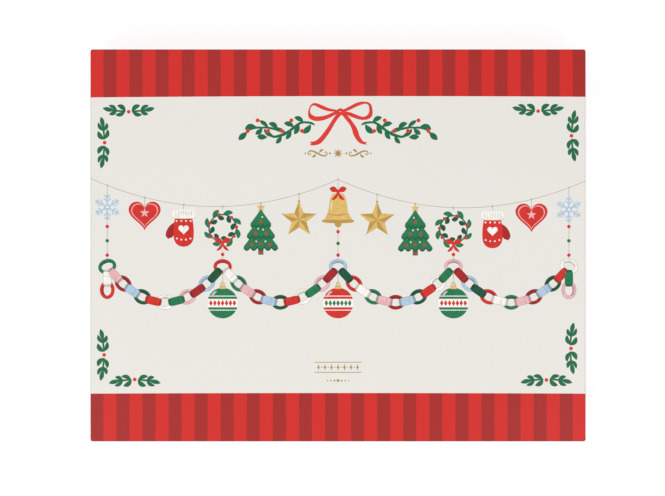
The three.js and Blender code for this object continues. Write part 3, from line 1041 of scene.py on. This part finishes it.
loop_ink = np.resize(paper_inks, (loops, 4))
rings, bands = slice(0, None, 2), slice(1, None, 2)


def ring_arcs(long, wide, width, start, end):
    """Arcs of an ellipse about each ring's middle: long · cos a along the chain and wide · sin a across
    it. The stroke has its full width in the arc's middle, and keeps it to the ends of a whole turn."""
    turn = np.linspace(0, 1, RING_POINTS)
    a = np.radians(start + (end - start) * turn)[:, None]
    path = loop_middle[rings][:, None] + long * np.cos(a) * loop_ahead[rings][:, None]
    path = path + wide * np.sin(a) * loop_aside[rings][:, None]
    swell = np.ones(RING_POINTS) if end - start == 360 else np.sin(np.pi * turn) ** 0.5
    return ribbon(path, np.broadcast_to(width * swell, path.shape[:2]))


def band_stretch(start, end, width, round_ends=False):
    """Straight bands along the chain, from start to end of a loop's length measured from its middle.
    Round ends follow a superellipse: the width times (1 - |t|^4)^(1/4)."""
    t = np.sin(0.5 * np.pi * np.linspace(-1, 1, BAND_POINTS))
    reach = 0.5 * (start + end) + 0.5 * (end - start) * t
    path = loop_middle[bands][:, None] + reach[:, None] * loop_ahead[bands][:, None]
    swell = (1 - np.abs(t) ** 4) ** 0.25 if round_ends else np.ones(BAND_POINTS)
    return ribbon(path, np.broadcast_to(width * swell, path.shape[:2]))


def band_seams():
    """The glued end of each band's strip, as a fine line across it."""
    foot = loop_middle[bands] + 1.2 * loop_ahead[bands]
    side = 2.2 * loop_aside[bands]
    return ribbon(np.stack([foot - side, foot + side], 1), np.full((len(foot), 2), 0.3))


printed(
    "paper_chain_print",
    printed_ink,
    "cream_wrap",
    (ring_arcs(4.6, 3.5, 2.1, 0, 360), shade(loop_ink[rings], 0.45), 0),
    (ring_arcs(4.6, 3.5, 1.7, 0, 360), loop_ink[rings], 1),
    (ring_arcs(3.9, 2.8, 1.3, 15, 165), shade(loop_ink[rings]), 2),
    (band_stretch(-5.2, 5.2, 5.1, True), shade(loop_ink[bands], 0.45), 3),
    (band_stretch(-5.0, 5.0, 4.7, True), shade(loop_ink[bands]), 4),
    (band_stretch(-3.7, 3.7, 4.72), loop_ink[bands], 5),
    (band_seams(), shade(loop_ink[bands]), 6),
)


# Three round baubles hang from the chain's inner peaks, and beaded threads join all five of
# its peaks to the charms above. A bauble is one plain disc with a pale band, a row of
# diamonds, two fine lines and a metal cap.

BAUBLE_RADIUS = 9.4
BAUBLE_HEIGHT = -35.5


def bauble_stripe(height, share):
    """A band across a bauble, by its share of the broad one's width. Its points are (u · sqrt(r² - v²),
    v), so that it ends on the edge."""
    u, v = np.meshgrid(np.linspace(-1, 1, 17), height + share * np.linspace(-2.6, 2.6, 7), indexing="ij")
    return np.stack([u * np.sqrt(BAUBLE_RADIUS**2 - v**2), v], -1)


def bauble(ink, diamonds):
    """A disc with its stripes, a row of diamonds, a gleam, and a cap with a ring on a thread."""
    row = np.linspace((-7.2, 0), (7.2, 0), 7)
    ring = np.array([0, 11.6]) + 1.1 * direction(RING)
    return [
        (line((0, 18.7), (0, 11), STRING_WIDTH), STRING_TAN, 7),
        (ribbon(ring, np.full(len(RING), 0.4)), INK_DARK_MUSTARD, 8),
        (discs([(0, 0)], BAUBLE_RADIUS, 48), ink, 7),
        (line((-1.9, 9.7), (1.9, 9.7), 2.0), INK_MUSTARD, 9),
        (bauble_stripe(0, 1), INK_WHITE, 8),
        (np.stack([bauble_stripe(-4.3, 0.1), bauble_stripe(4.3, 0.1)]), INK_WHITE, 8),
        (polar(row, [1.9, 1.1], points=4), diamonds, 9),
        (leaves([(-6.9, 3.4)], [(-3.4, 7.4)], 1.3, 0.12), shade(INK_WHITE), 9),
    ]


bead_parts = []
for x, top, count in ((-142, 14.6, 3), (-71, -2.6, 1), (0, 11.4, 3), (71, -2.6, 1), (142, 14.6, 3)):
    beads = np.stack([np.full(count, float(x)), np.linspace(top - 3, CHAIN_TOP + 7, count)], 1)
    bead_parts += [
        (line((x, top), (x, CHAIN_TOP + 4), STRING_WIDTH), STRING_TAN, 0),
        (discs(beads, 1.1, 14), np.resize([INK_RED, INK_GREEN], (count, 4)), 1),
    ]
printed(
    "baubles_and_beads",
    printed_ink,
    "cream_wrap",
    *drawn_at(bauble(INK_GREEN, INK_RED), -SWAG, BAUBLE_HEIGHT),
    *drawn_at(bauble(INK_RED, INK_GREEN), 0, BAUBLE_HEIGHT),
    *drawn_at(bauble(INK_GREEN, INK_RED), SWAG, BAUBLE_HEIGHT),
    *bead_parts,
)


# The table is a white sheet under plain studio light: soft lamps to the left and the right of
# the front, a weaker one at the rear left, and an even white room. From below it can be seen
# through, and it lets light through to what lies on it, so that the box's underside shows.

TABLE_REACH = 4  # in metres, as the lamps' sizes are
TABLE_DROP = 0.1 * MM
CONTACT = 2 * MM
WHITE = (1, 1, 1, 1)
LAMP_HEIGHT = 1.5
LAMP_SIZE = 0.9


def light_path(tree):
    """The kinds of rays, and 1 for those that show a surface, also in gloss or glass."""
    rays = add(tree, "LightPath").outputs
    seen = maths(tree, "MAXIMUM", rays["Is Camera Ray"], rays["Is Glossy Ray"])
    return rays, maths(tree, "MAXIMUM", seen, rays["Is Transmission Ray"])


table_mesh = bpy.data.meshes.new("table")
square = TABLE_REACH * np.array([(-1, -1), (1, -1), (1, 1), (-1, 1)])
table_mesh.from_pydata([(x, y, -TABLE_DROP) for x, y in square.tolist()], [], [(0, 1, 2, 3)])
table = placed("table", table_mesh)
white_table, tree, shader = finish_start("white_table", specular=0.2, roughness=0.9)
rays, seen = light_path(tree)
tree.links.new(maths(tree, "MULTIPLY_ADD", seen, -0.6, 0.8), shader.inputs["Base Color"])
glow = add(tree, "Emission", {"Color": WHITE, "Strength": maths(tree, "MULTIPLY", seen, 0.85)})
lit = add(tree, "AddShader", {0: shader.outputs[0], 1: glow.outputs[0]})
clear = add(tree, "BsdfTransparent")
near = maths(tree, "LESS_THAN", rays["Ray Length"], CONTACT)
close = maths(tree, "MULTIPLY", rays["Is Diffuse Ray"], near)
below = maths(tree, "MAXIMUM", add(tree, "NewGeometry").outputs["Backfacing"], close)
shown = add(tree, "MixShader", {0: below, 1: lit.outputs[0], 2: clear.outputs[0]})
tree.links.new(shown.outputs[0], tree.nodes["Material Output"].inputs["Surface"])
table_mesh.materials.append(white_table)

room = bpy.data.worlds.new("room")
room.use_nodes = True
tree = room.node_tree
level = maths(tree, "MULTIPLY_ADD", light_path(tree)[1], 0.4, 0.6)
tree.links.new(level, tree.nodes["Background"].inputs["Strength"])
tree.nodes["Background"].inputs["Color"].default_value = WHITE
bpy.context.scene.world = room

for x, y, power in ((-0.74, -0.66, 6.4), (0.74, -0.66, 6.4), (-0.6, 0.8, 2.1)):
    lamp_data = bpy.data.lights.new("lamp", "AREA")
    lamp_data.shape = "RECTANGLE"
    lamp_data.size = lamp_data.size_y = LAMP_SIZE
    lamp_data.energy = power
    lamp = placed("lamp", lamp_data)
    lamp.location = (x, y, LAMP_HEIGHT)
    lamp.rotation_euler = (-np.arctan2(y, LAMP_HEIGHT), np.arctan2(x, LAMP_HEIGHT), 0)
